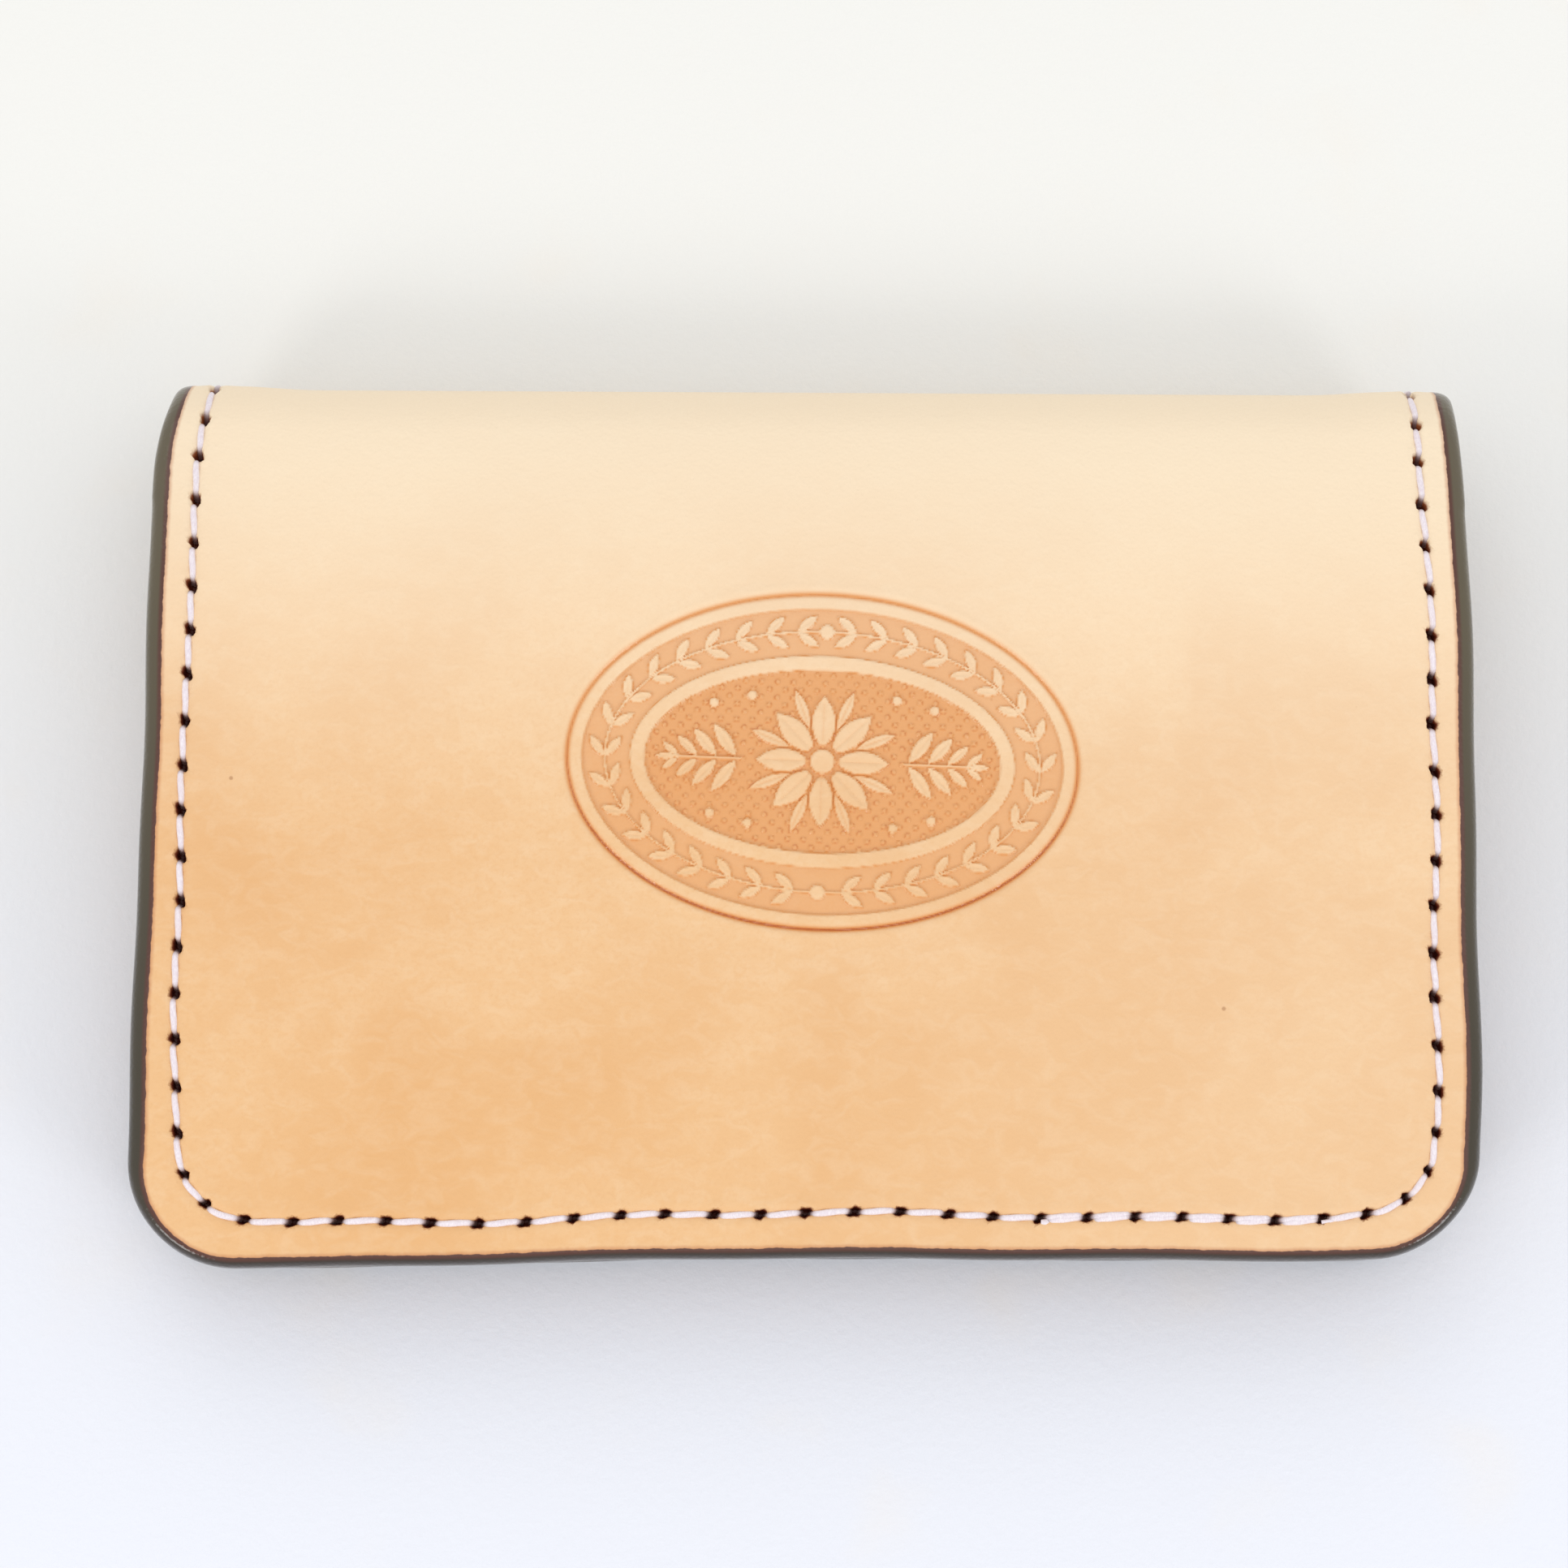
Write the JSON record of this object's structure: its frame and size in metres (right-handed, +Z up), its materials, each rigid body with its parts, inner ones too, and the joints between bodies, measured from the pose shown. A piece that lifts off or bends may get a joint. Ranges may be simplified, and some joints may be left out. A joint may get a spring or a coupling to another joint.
{
  "type": "card holder",
  "caption": "Bifold card holder in natural vegetable-tanned leather, saddle-stitched in white, with slots for cards on one side and a full-width pocket on the other.",
  "frame": {"origin": "on the table under the middle of the closed case's bounding box", "axes": "+X along the fold, +Y from the open edges to the fold, +Z up from the back cover to the front cover"},
  "size_m": [0.105, 0.0728, 0.0153],
  "materials": {
    "cover_leather": "natural vegetable-tanned grain, semi-matt, dark burnished edges",
    "lining_leather": "smooth thin lining leather, matt",
    "pocket_leather": "natural vegetable-tanned grain, matt, dark burnished mouth edge",
    "white_thread": "waxed twisted polyester thread"
  },
  "bodies": {
    "back_half": {"back_cover": "cover_leather", "back_lining": "lining_leather", "upper_slot_panel": "pocket_leather", "lower_slot_panel": "pocket_leather", "upper_slot_seam_thread": "white_thread", "back_outer_thread": "white_thread", "back_inner_thread": "white_thread"},
    "back_bend": {"back_bend_cover": "cover_leather", "back_bend_lining": "lining_leather", "back_bend_outer_thread": "white_thread", "back_bend_inner_thread": "white_thread"},
    "spine": {"spine_cover": "cover_leather", "spine_lining": "lining_leather", "spine_outer_thread": "white_thread", "spine_inner_thread": "white_thread"},
    "front_bend": {"front_bend_cover": "cover_leather", "front_bend_lining": "lining_leather", "front_bend_outer_thread": "white_thread", "front_bend_inner_thread": "white_thread"},
    "front_half": {"front_cover": "cover_leather", "front_lining": "lining_leather", "front_pocket_panel": "pocket_leather", "front_outer_thread": "white_thread", "front_inner_thread": "white_thread"}
  },
  "joints": [
    {"name": "back_bow_bend", "type": "hinge", "parent": "back_half", "child": "back_bend", "pos_m": [0, 0.02568, 0.00121], "axis": [-1, 0, 0], "range_deg": [0, 27]},
    {"name": "back_fold", "type": "hinge", "parent": "back_bend", "child": "spine", "pos_m": [0, 0.03563, 0.00594], "axis": [-1, 0, 0], "range_deg": [0, 65.8]},
    {"name": "front_fold", "type": "hinge", "parent": "spine", "child": "front_bend", "pos_m": [0, 0.03537, 0.01117], "axis": [-1, 0, 0], "range_deg": [0, 65.8]},
    {"name": "front_bow_bend", "type": "hinge", "parent": "front_bend", "child": "front_half", "pos_m": [0, 0.02501, 0.0149], "axis": [-1, 0, 0], "range_deg": [0, 27]}
  ],
  "couplings": [
    {"joint": "back_fold", "follows": "back_bow_bend", "ratio": 2.437},
    {"joint": "front_fold", "follows": "back_bow_bend", "ratio": 2.437},
    {"joint": "front_bow_bend", "follows": "back_bow_bend", "ratio": 1}
  ]
}
